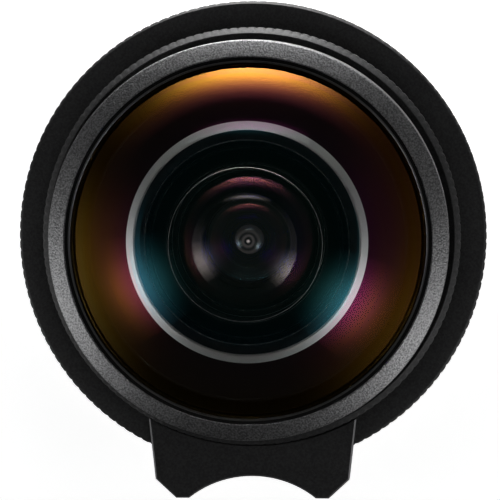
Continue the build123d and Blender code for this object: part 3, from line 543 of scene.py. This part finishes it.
BOWL_VERTEX = LENGTH - 2.3
BOWL_OPENING = 9.35
FLAT_HEIGHT = 15.3
STEP_HEIGHT = 15.0
STEP_RADIUS = 13.4
BEVEL_OUTER = 9.75
BEVEL_INNER = 9.2
BEVEL_FOOT = 15.5
BOWL_COAT_EDGE = 4.6
GROUND_LINE = 6.62  # a fine ground line round the bowl, where its second coating was masked
GROUND_LINE_WIDTH = 0.035
bowl_depth = BOWL_VERTEX - STEP_HEIGHT
bowl_radius = (BOWL_OPENING**2 + bowl_depth**2) / (2 * bowl_depth)
bowl = curve_points(BOWL_VERTEX, bowl_radius, 0, BOWL_COAT_EDGE, count=36)
steep_bowl = curve_points(BOWL_VERTEX, bowl_radius, BOWL_COAT_EDGE, GROUND_LINE, count=20)
hidden_bowl = curve_points(BOWL_VERTEX, bowl_radius, GROUND_LINE + GROUND_LINE_WIDTH, BEVEL_INNER, count=24)
front_element = spin_piece(
    "front_meniscus",
    [
        (centre_coat, dome_centre),
        (dome_coat, dome),
        (outer_coat, outer_dome),
        (rim_coat, dome_rim),
        (edge_paint, [dome_rim[-1], (GLASS_RADIUS, FLAT_HEIGHT), (STEP_RADIUS, FLAT_HEIGHT)]),
        (ground_glass, [(STEP_RADIUS, FLAT_HEIGHT), (STEP_RADIUS, STEP_HEIGHT)]),
        (edge_paint, [(STEP_RADIUS, STEP_HEIGHT), (BEVEL_OUTER, BEVEL_FOOT)]),
        (ground_glass, [(BEVEL_OUTER, BEVEL_FOOT), hidden_bowl[-1]]),
        (bowl_coat, bowl),
        (steep_bowl_coat, steep_bowl),
        (ground_glass, [steep_bowl[-1], hidden_bowl[0]]),
        (steep_bowl_coat, hidden_bowl),
    ],
)
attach(front_element, "head")
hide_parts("front_element")

# Front ring: turned from aluminium, bead blasted and anodised black. Its sloping face frames the glass,
# its lip holds the front element down, and its foot stands on the head inside the aperture ring.
BLASTED = (0.3, 0.3, 0.305)
BLASTED_DARK = (0.17, 0.17, 0.173)
BLASTED_PALE = (0.42, 0.42, 0.425)
FRESH_CUT = (0.3, 0.3, 0.29)
FACE_INNER = 17.44
FACE_OUTER = 18.85
FACE_HIGH = 16.66
FACE_LOW = 15.92
FACE_EDGE = 0.1
FACE_EDGE_DROP = 0.07
FRONT_RADIUS = 18.95
SHANK_RADIUS = 18.75
SHANK_TOP = 9.9
SHANK_FOOT = 8.8
RING_BORE = 17.15
LIP_FOOT = 15.2
LIP_RADIUS = 16.8
LIP_TOP = 16.53
LIP_THICKNESS = 0.23
LIP_ROUND = 0.09
LIP_LAND_START = 0.1
LIP_LAND_END = 0.22


def make_blasted():
    """Bead-blasted dark metal: a fine random grain of dents that sparkles where the light rakes it."""
    material, tree, shader = new_finish("bead_blasted_black", BLASTED, roughness=0.45, metallic=1.0)
    grain = add_grain(tree, shader, BLASTED_DARK, BLASTED_PALE, scale=6000, detail=2, start=0.36, end=0.64)
    raise_surface(tree, shader, grain, distance=0.00005)
    tree.links.new(spread(tree, grain, low=0.36, high=0.52), shader.inputs["Roughness"])
    return material


blasted = make_blasted()
bright_edge = lathe_finish(
    "fresh_cut_edge", FRESH_CUT, roughness=0.3, metallic=1.0, marks_per_metre=9000, mark_depth=0.000002
)
lip = [
    (RING_BORE, LIP_FOOT),
    (LIP_RADIUS, LIP_TOP - LIP_THICKNESS),
    (LIP_RADIUS, LIP_TOP - LIP_ROUND),
    (LIP_RADIUS + LIP_ROUND / 3, LIP_TOP - LIP_ROUND / 3),
    (LIP_RADIUS + LIP_LAND_START, LIP_TOP),
    (LIP_RADIUS + LIP_LAND_END, LIP_TOP),
]
inner_wall = [lip[-1], (FACE_INNER - FACE_EDGE, FACE_HIGH - FACE_EDGE_DROP)]
outer_wall = eased(
    [
        inner_wall[-1],
        (FACE_INNER, FACE_HIGH),
        (FACE_OUTER, FACE_LOW),
        (FRONT_RADIUS, FACE_LOW - FACE_EDGE),
        (FRONT_RADIUS, SHANK_TOP),
        (SHANK_RADIUS, SHANK_TOP),
        (SHANK_RADIUS, SHANK_FOOT),
        (RING_BORE, SHANK_FOOT),
        lip[0],
    ],
    CORNER_ROUND,
)
front_ring = spin_piece(
    "front_trim_ring",
    [(blasted, outer_wall), (flat_black, inner_wall), (bright_edge, lip)],
    sharp_angle=12,
)
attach(front_ring, "head")
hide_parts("front_ring")

# Scales: numbers and index lines filled with pale paint. Distances in metres stand on the smooth foot
# of the focus ring, f-numbers on the front ring above the aperture ring.
PAINT = (0.7, 0.69, 0.66)
PAINT_RISE = 0.012  # how far the paint stands proud of the metal, in mm


def make_scale_paint():
    """Pale filling paint, a little uneven."""
    material, tree, shader = new_finish("scale_paint", PAINT, roughness=0.5)
    smudge_gloss(tree, shader, low=0.42, high=0.6, per_metre=3000)
    return material


scale_paint = make_scale_paint()


def finish_mark(name, mesh, body, radius, angle, height):
    """Wraps a flat mesh in mm onto a cylinder round the axis, at an angle in degrees and a height."""
    for vertex in mesh.vertices:
        turn = radians(angle) + vertex.co.x / radius
        rise = height + vertex.co.y
        out = radius + PAINT_RISE
        vertex.co = Vector((out * cos(turn), out * sin(turn), rise)) * MM
    mesh.materials.clear()
    mesh.materials.append(scale_paint)
    mark = bpy.data.objects.new(name, mesh)
    bpy.context.scene.collection.objects.link(mark)
    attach(mark, body)


def write_number(name, number, size, body, radius, angle, height):
    """One number of a scale, centred on its place."""
    letters = bpy.data.curves.new(name, "FONT")
    letters.body = number
    letters.size = size
    letters.align_x = "CENTER"
    letters.align_y = "CENTER"
    letters.resolution_u = 4
    writer = bpy.data.objects.new(name, letters)
    bpy.context.scene.collection.objects.link(writer)
    bpy.context.view_layer.update()
    mesh = bpy.data.meshes.new_from_object(writer)
    bpy.data.objects.remove(writer)
    finish_mark(name, mesh, body, radius, angle, height)


def draw_line(name, width, tall, body, radius, angle, height):
    """An index line along the axis."""
    shape = bmesh.new()
    bmesh.ops.create_grid(shape, x_segments=2, y_segments=1, size=0.5)
    bmesh.ops.scale(shape, verts=shape.verts, vec=(width, tall, 1))
    mesh = bpy.data.meshes.new(name)
    shape.to_mesh(mesh)
    shape.free()
    finish_mark(name, mesh, body, radius, angle, height)


FOCAL_LENGTH = 4.0
FOCUS_HALF_TURN = 45.0
FOCUS_TRAVEL = 0.25
FOCUS_INDEX = 60.0  # degrees round the axis
DISTANCE_SIZE = 0.75
DISTANCE_HEIGHT = 2.82
BASE_RIM = 22.3
for metres in ("0.08", "0.1", "0.15", "0.2", "0.3", "0.5", "1"):
    lift = FOCAL_LENGTH**2 * MM / float(metres)
    turn = 2 * FOCUS_HALF_TURN * lift / FOCUS_TRAVEL - FOCUS_HALF_TURN
    plain_name = "distance_" + metres.replace(".", "_")
    foot_radius = FOCUS_RADIUS - SCALE_STEP
    write_number(plain_name, metres, DISTANCE_SIZE, "focus", foot_radius, FOCUS_INDEX - turn, DISTANCE_HEIGHT)
draw_line("focus_index", width=0.14, tall=0.8, body="base", radius=BASE_RIM, angle=FOCUS_INDEX, height=1.5)

FASTEST = 2.8
STOP_RADIUS_OPEN = 2.4
BLADE_ARM = 4.9
CAM_RATIO = 0.555  # how far a blade swings for each degree of the ring
APERTURE_INDEX = 60.0  # degrees round the axis
STOP_SIZE = 1.0
STOP_HEIGHT = 11.0
for stop in ("2.8", "4", "5.6", "8", "11", "16"):
    hole = STOP_RADIUS_OPEN * FASTEST / float(stop)
    turn = degrees(2 * asin((STOP_RADIUS_OPEN - hole) / (2 * BLADE_ARM))) / CAM_RATIO
    plain_name = "stop_" + stop.replace(".", "_")
    write_number(plain_name, stop, STOP_SIZE, "head", FRONT_RADIUS, APERTURE_INDEX + turn, STOP_HEIGHT)
draw_line(
    "aperture_index",
    width=0.16,
    tall=1.1,
    body="aperture",
    radius=APERTURE_RADIUS,
    angle=APERTURE_INDEX,
    height=8.2,
)

# Glass behind the front element: a second meniscus, a hollow lens and a plano-convex lens before the iris,
# then a cemented doublet and the rear lens. Edges and flats are lacquered black, and rings hold them.
CROWN_GLASS = 1.6
second_coat = coated_glass("second_coating", CROWN_GLASS, film=125, film_index=1.27)
second_bowl_coat = coated_glass("second_bowl_coating", CROWN_GLASS, film=195, film_index=1.26)
inner_coat = coated_glass("inner_coating", CROWN_GLASS, film=190)

SECOND_EDGE = 9.0
SECOND_RIM_TOP = 14.5
SECOND_RIM_FOOT = 12.9
SECOND_CHAMFER = 0.1
second_front = curve_points(vertex=18.051, radius=13.0, start=0, end=8.6, count=40)
second_bowl = curve_points(vertex=15.0, radius=7.0, start=0, end=5.0, count=40)
second_rim = [
    (SECOND_EDGE - SECOND_CHAMFER, SECOND_RIM_TOP),
    (SECOND_EDGE, SECOND_RIM_TOP - SECOND_CHAMFER),
    (SECOND_EDGE, SECOND_RIM_FOOT),
    second_bowl[-1],
]
second_element = spin_piece(
    "second_meniscus",
    [
        (second_coat, second_front),
        (ground_glass, [second_front[-1], second_rim[0]]),
        (edge_paint, second_rim),
        (second_bowl_coat, second_bowl),
    ],
)
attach(second_element, "head")
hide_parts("second_element")

THIRD_EDGE = 6.0
THIRD_SEAT = 9.74
third_front = curve_points(vertex=12.0, radius=-30.0, start=0, end=THIRD_EDGE, count=24)
third_bowl = curve_points(vertex=10.58, radius=9.0, start=0, end=3.8, count=32)
third_element = spin_piece(
    "third_lens",
    [
        (inner_coat, third_front),
        (edge_paint, [third_front[-1], (THIRD_EDGE, THIRD_SEAT), third_bowl[-1]]),
        (inner_coat, third_bowl),
    ],
)
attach(third_element, "head")
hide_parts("third_element")

FOURTH_EDGE = 4.6
FOURTH_CHAMFER = 0.15
FOURTH_BACK = 8.6
FOURTH_CLEAR = 4.3
fourth_front = curve_points(vertex=10.5, radius=7.5, start=0, end=FOURTH_EDGE - FOURTH_CHAMFER, count=32)
fourth_rim = [
    fourth_front[-1],
    (FOURTH_EDGE, fourth_front[-1][1] - FOURTH_CHAMFER),
    (FOURTH_EDGE, FOURTH_BACK),
    (FOURTH_CLEAR, FOURTH_BACK),
]
fourth_element = spin_piece(
    "fourth_lens",
    [
        (inner_coat, fourth_front),
        (edge_paint, fourth_rim),
        (inner_coat, [fourth_rim[-1], (0, FOURTH_BACK)]),
    ],
)
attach(fourth_element, "head")
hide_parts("fourth_element")

DOUBLET_EDGE = 4.45
doublet_front = curve_points(vertex=4.7, radius=8.0, start=0, end=DOUBLET_EDGE, count=24)
doublet_back = curve_points(vertex=0.1, radius=-20.0, start=0, end=DOUBLET_EDGE, count=24)
doublet = spin_piece(
    "cemented_doublet",
    [
        (inner_coat, doublet_front),
        (edge_paint, [doublet_front[-1], doublet_back[-1]]),
        (inner_coat, doublet_back),
    ],
)
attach(doublet, "head")
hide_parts("doublet_front", "doublet_rear")
dress(inner_coat, "rear_element")

# Floor and walls: a pale studio table that the lens stands on, and pale walls far off that fade into a dim
# ceiling. The table glows where it is seen, so that it looks white. Under the lens it has a painted shadow,
# and where it is seen through the iris a painted glint: a small spot with faint rings round it.
FLOOR_HEIGHT = cad_low.z
FLOOR_RADIUS = 3.0
floor_shape = bmesh.new()
bmesh.ops.create_circle(floor_shape, cap_ends=True, segments=96, radius=FLOOR_RADIUS)
bmesh.ops.translate(floor_shape, verts=floor_shape.verts, vec=(0, 0, FLOOR_HEIGHT))
floor_mesh = bpy.data.meshes.new("studio_floor")
floor_shape.to_mesh(floor_mesh)
floor_shape.free()
floor = bpy.data.objects.new("studio_floor", floor_mesh)
bpy.context.scene.collection.objects.link(floor)


def seen_directly(tree):
    """1 for rays that the camera, a gloss or a glass sends, otherwise 0."""
    path = tree.nodes.new("ShaderNodeLightPath")
    gloss = calculate(tree, "MAXIMUM", path.outputs["Is Camera Ray"], path.outputs["Is Glossy Ray"])
    return calculate(tree, "MAXIMUM", gloss, path.outputs["Is Transmission Ray"])


TABLE = (0.8, 0.8, 0.8)
# The painted shadow under the lens is full inside DARK_RADIUS and gone outside GLOW_RADIUS.
DARK_RADIUS = 0.015
GLOW_RADIUS = 0.022
# The painted glint seen through the iris: its centre, spot size, reach and rings.
SIGHT_CENTRE = (-0.00025, -0.00035, 0)  # where the camera's line through the iris meets the table
SIGHT_SPOT = 0.0002
SIGHT_REACH = 0.0013
RIPPLES = 13500.0  # radians per metre


def make_floor_finish():
    """Pale matt table with a painted shadow under the lens, save the millimetre seen through the iris.

    There a small spot with fine rings glows faintly: a painted glint of light on the glass in the iris."""
    material, tree, shader = new_finish("pale_table", TABLE, roughness=0.6)
    place = tree.nodes.new("ShaderNodeTexCoord").outputs["Object"]
    flat = tree.nodes.new("ShaderNodeVectorMath")
    flat.operation = "MULTIPLY"
    flat.inputs[1].default_value = (1, 1, 0)
    tree.links.new(place, flat.inputs[0])
    length = tree.nodes.new("ShaderNodeVectorMath")
    length.operation = "LENGTH"
    tree.links.new(flat.outputs[0], length.inputs[0])
    out = length.outputs["Value"]
    # Painted shadow: the table's glow fades out under the lens.
    outside_painted_shadow = spread(tree, out, low=0, high=1, start=DARK_RADIUS, end=GLOW_RADIUS)
    distance = tree.nodes.new("ShaderNodeVectorMath")
    distance.operation = "DISTANCE"
    tree.links.new(flat.outputs[0], distance.inputs[0])
    distance.inputs[1].default_value = SIGHT_CENTRE
    from_sight = distance.outputs["Value"]
    # Painted glint: a bright spot and fine rings round the point seen through the iris.
    ripples = calculate(tree, "COSINE", calculate(tree, "MULTIPLY", from_sight, RIPPLES))
    ripple_height = spread(tree, from_sight, low=0.035, high=0, start=SIGHT_SPOT, end=SIGHT_REACH)
    painted_glint_spot = spread(tree, from_sight, low=0.6, high=0.025, start=0, end=SIGHT_SPOT)
    edge_fade = spread(tree, from_sight, low=0, high=-0.018, start=0.0006, end=0.0014)
    rippled = calculate(tree, "ADD", calculate(tree, "MULTIPLY", ripples, ripple_height), painted_glint_spot)
    faded = calculate(tree, "MAXIMUM", calculate(tree, "ADD", rippled, edge_fade), 0.0)
    near_axis = spread(tree, out, low=1, high=0, start=0.003, end=0.004)
    painted_iris_glint = calculate(tree, "MULTIPLY", faded, near_axis)
    everywhere = calculate(tree, "ADD", outside_painted_shadow, painted_iris_glint)
    glow = calculate(tree, "MULTIPLY", everywhere, seen_directly(tree))
    farther = spread(tree, out, low=0.8, high=1.0, start=0.04, end=0.07)
    shader.inputs["Emission Color"].default_value = (1, 1, 1, 1)
    tree.links.new(calculate(tree, "MULTIPLY", glow, farther), shader.inputs["Emission Strength"])
    shader.inputs["Specular IOR Level"].default_value = 0
    return material


floor_mesh.materials.append(make_floor_finish())

world = bpy.data.worlds.new("studio")
bpy.context.scene.world = world
world.use_nodes = True
world_tree = world.node_tree
background = world_tree.nodes["Background"]
direction = world_tree.nodes.new("ShaderNodeTexCoord").outputs["Generated"]
direction_parts = world_tree.nodes.new("ShaderNodeSeparateXYZ")
world_tree.links.new(direction, direction_parts.inputs[0])
WALL_TOP = sin(radians(9))  # the walls are pale up to this lift
CEILING = sin(radians(22))  # and the ceiling is dim from this one on
level = spread(world_tree, direction_parts.outputs["Z"], low=1.0, high=0.03, start=WALL_TOP, end=CEILING)
world_tree.links.new(level, background.inputs["Strength"])
background.inputs["Color"].default_value = (1, 1, 1, 1)

# Tent and lamps: a dim cloth cylinder round the lens, seen only in reflections and paler at a few bearings.
# Four sheets of soft light with fading edges stand inside it: one low and one high behind the top, and two
# beside the lower half. They hide nothing that is behind them.
LIT_POINT = Vector((0, 0, 0.018))
TENT_RADIUS = 0.09
TENT_TOP = 0.065
TENT_LEVEL = 0.012


def bell(tree, value, middle, reach):
    """The exponent of a bell curve: minus the square of (value - middle) / reach."""
    offset = calculate(tree, "DIVIDE", calculate(tree, "SUBTRACT", value, middle), reach)
    return calculate(tree, "MULTIPLY", calculate(tree, "MULTIPLY", offset, offset), -1.0)


def glowing_sheet(name, level_of, veil=False):
    """A sheet that shines on its front side, as bright as level_of says. A veil hides nothing behind it."""
    material = bpy.data.materials.new(name)
    material.use_nodes = True
    tree = material.node_tree
    tree.nodes.clear()
    place = tree.nodes.new("ShaderNodeTexCoord").outputs["Object"]
    parts = tree.nodes.new("ShaderNodeSeparateXYZ")
    tree.links.new(place, parts.inputs[0])
    behind = tree.nodes.new("ShaderNodeNewGeometry").outputs["Backfacing"]
    front = calculate(tree, "SUBTRACT", 1.0, behind)
    glow = tree.nodes.new("ShaderNodeEmission")
    tree.links.new(calculate(tree, "MULTIPLY", level_of(tree, parts), front), glow.inputs["Strength"])
    result = tree.nodes.new("ShaderNodeOutputMaterial")
    tree.links.new(glow.outputs[0], result.inputs["Surface"])
    if veil:
        both = tree.nodes.new("ShaderNodeAddShader")
        tree.links.new(glow.outputs[0], both.inputs[0])
        tree.links.new(tree.nodes.new("ShaderNodeBsdfTransparent").outputs[0], both.inputs[1])
        tree.links.new(both.outputs[0], result.inputs["Surface"])
    return material


def soft_box(name, bearing, lift, distance, width, tall, level, reach_across, reach_up, peak_up):
    """A sheet lamp that faces the lens from a bearing and lift in degrees, brightest at peak_up."""
    shape = bmesh.new()
    bmesh.ops.create_grid(shape, x_segments=1, y_segments=1, size=0.5)
    bmesh.ops.scale(shape, verts=shape.verts, vec=(width, tall, 1))
    mesh = bpy.data.meshes.new(name)
    shape.to_mesh(mesh)
    shape.free()

    def level_of(tree, parts):
        across = bell(tree, parts.outputs["X"], 0.0, reach_across)
        up = bell(tree, parts.outputs["Y"], peak_up, reach_up)
        fade = calculate(tree, "EXPONENT", calculate(tree, "ADD", across, up))
        return calculate(tree, "MULTIPLY", fade, level)

    mesh.materials.append(glowing_sheet(name, level_of, veil=True))
    box = bpy.data.objects.new(name, mesh)
    bpy.context.scene.collection.objects.link(box)
    out = Vector((
        cos(radians(lift)) * cos(radians(bearing)),
        cos(radians(lift)) * sin(radians(bearing)),
        sin(radians(lift)),
    ))
    box.location = LIT_POINT + out * distance
    box.rotation_euler = (-out).to_track_quat("Z", "Y").to_euler()
    box.visible_camera = False


def tent_level(tree, parts):
    """Brightness of the tent: dim all round, paler towards a few bearings in degrees."""
    level = TENT_LEVEL
    x, y = parts.outputs["X"], parts.outputs["Y"]
    squares = calculate(tree, "ADD", calculate(tree, "MULTIPLY", x, x), calculate(tree, "MULTIPLY", y, y))
    out = calculate(tree, "SQRT", squares)
    low_part = spread(tree, parts.outputs["Z"], low=1.3, high=0.03, start=0.008, end=0.03)
    lobes = ((192, 0.4, 12), (330, 0.3, 12), (10, 0.12, 8), (90, low_part, 6))
    for bearing, strength, sharpness in lobes:
        across = calculate(tree, "MULTIPLY", x, cos(radians(bearing)))
        along = calculate(tree, "MULTIPLY", y, sin(radians(bearing)))
        reach = calculate(tree, "DIVIDE", calculate(tree, "ADD", across, along), out)
        toward = calculate(tree, "MAXIMUM", reach, 0.0)
        lobe = calculate(tree, "MULTIPLY", calculate(tree, "POWER", toward, sharpness), strength)
        level = calculate(tree, "ADD", lobe, level)
    return level


TENT_HEM = 0.036  # from here outwards the cloth lies on the table
TENT_FOOT = FLOOR_HEIGHT + 0.0003
tent_shape = bmesh.new()
tent_outline = [(TENT_HEM, TENT_FOOT), (TENT_RADIUS, TENT_FOOT), (TENT_RADIUS, TENT_TOP)]
tent_corners = [tent_shape.verts.new((out, 0, height)) for out, height in tent_outline]
tent_sides = [tent_shape.edges.new(pair) for pair in zip(tent_corners[:-1], tent_corners[1:])]
bmesh.ops.spin(
    tent_shape,
    geom=tent_corners + tent_sides,
    cent=(0, 0, 0),
    axis=(0, 0, 1),
    dvec=(0, 0, 0),
    angle=2 * pi,
    steps=128,
    use_merge=True,
)
bmesh.ops.remove_doubles(tent_shape, verts=tent_shape.verts, dist=0.000001)
bmesh.ops.recalc_face_normals(tent_shape, faces=tent_shape.faces)
# The shining side of the cloth faces up on the table, and so it faces the lens on the wall.
tent_hem = min(tent_shape.faces, key=lambda face: abs(face.calc_center_median().z - FLOOR_HEIGHT))
if tent_hem.normal.z < 0:
    bmesh.ops.reverse_faces(tent_shape, faces=tent_shape.faces)
tent_mesh = bpy.data.meshes.new("cloth_tent")
tent_shape.to_mesh(tent_mesh)
tent_shape.free()
tent_mesh.materials.append(glowing_sheet("cloth_tent", tent_level))
tent = bpy.data.objects.new("cloth_tent", tent_mesh)
bpy.context.scene.collection.objects.link(tent)
tent.visible_camera = False
tent.visible_diffuse = False
tent.visible_shadow = False

soft_box(
    "top_box",
    bearing=90,
    lift=-10,
    distance=0.060,
    width=0.130,
    tall=0.0525,
    level=15.5,
    reach_across=0.0215,
    reach_up=0.0098,
    peak_up=-0.0037,
)
soft_box(
    "strip_box",
    bearing=90,
    lift=24,
    distance=0.085,
    width=0.100,
    tall=0.020,
    level=2.6,
    reach_across=0.026,
    reach_up=0.0035,
    peak_up=0,
)
for side, bearing, level in (("left_box", 203, 2.3), ("right_box", 327, 2.65)):
    soft_box(
        side,
        bearing=bearing,
        lift=24,
        distance=0.070,
        width=0.058,
        tall=0.090,
        level=level,
        reach_across=0.0165,
        reach_up=0.019,
        peak_up=-0.006,
    )

# Camera: a long lens that looks straight into the front element from about 40 cm,
# a little from the right and from above.
CAMERA_DISTANCE = 0.4
CAMERA_LENS = 298
SENSOR_WIDTH = 36
LOOK_RIGHT = radians(2.6)
LOOK_UP = radians(3.4)
AIM = Vector((-0.00025, -0.00142, 0.0065))
camera_data = bpy.data.cameras.new("camera")
camera_data.lens = CAMERA_LENS
camera_data.sensor_width = SENSOR_WIDTH
camera_data.clip_start = 0.01
camera_data.clip_end = 10
camera = bpy.data.objects.new("camera", camera_data)
bpy.context.scene.collection.objects.link(camera)
back = Vector((sin(LOOK_RIGHT), sin(LOOK_UP), 1)).normalized()
camera.location = AIM + back * CAMERA_DISTANCE
right = Vector((0, 1, 0)).cross(back).normalized()
camera.rotation_euler = Matrix((right, back.cross(right), back)).transposed().to_euler()
bpy.context.scene.camera = camera
bpy.context.scene.view_settings.view_transform = "Standard"
